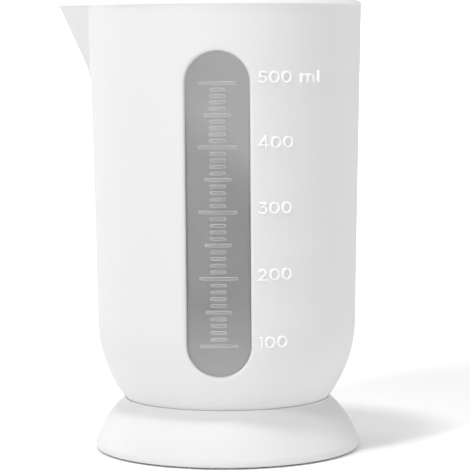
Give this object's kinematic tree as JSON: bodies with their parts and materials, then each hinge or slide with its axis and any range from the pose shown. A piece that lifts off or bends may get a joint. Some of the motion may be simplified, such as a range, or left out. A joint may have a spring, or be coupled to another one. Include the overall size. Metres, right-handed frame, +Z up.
{
  "type": "baby formula pitcher",
  "caption": "Round-bottomed mixing jug with a pointed pouring spout, a clear graduated window let into its wall, and a soft flared foot that pulls off.",
  "frame": {"origin": "the jug's upright axis where it meets the table", "axes": "+Z up along the jug's axis; -Y out through the middle of the graduated window; -X towards the tip of the pouring spout"},
  "size_m": [0.0981, 0.0874, 0.1435],
  "materials": {
    "jug_plastic": "satin white",
    "window_plastic": "clear, polished",
    "foot_silicone": "matte white silicone"
  },
  "bodies": {
    "foot": {"foot": "foot_silicone"},
    "jug": {"pitcher_body": "jug_plastic", "sight_window": "window_plastic"}
  },
  "joints": [
    {"name": "jug_lift", "type": "slide", "parent": "foot", "child": "jug", "axis": [0, 0, 1], "range_m": [0, 0.04]}
  ]
}
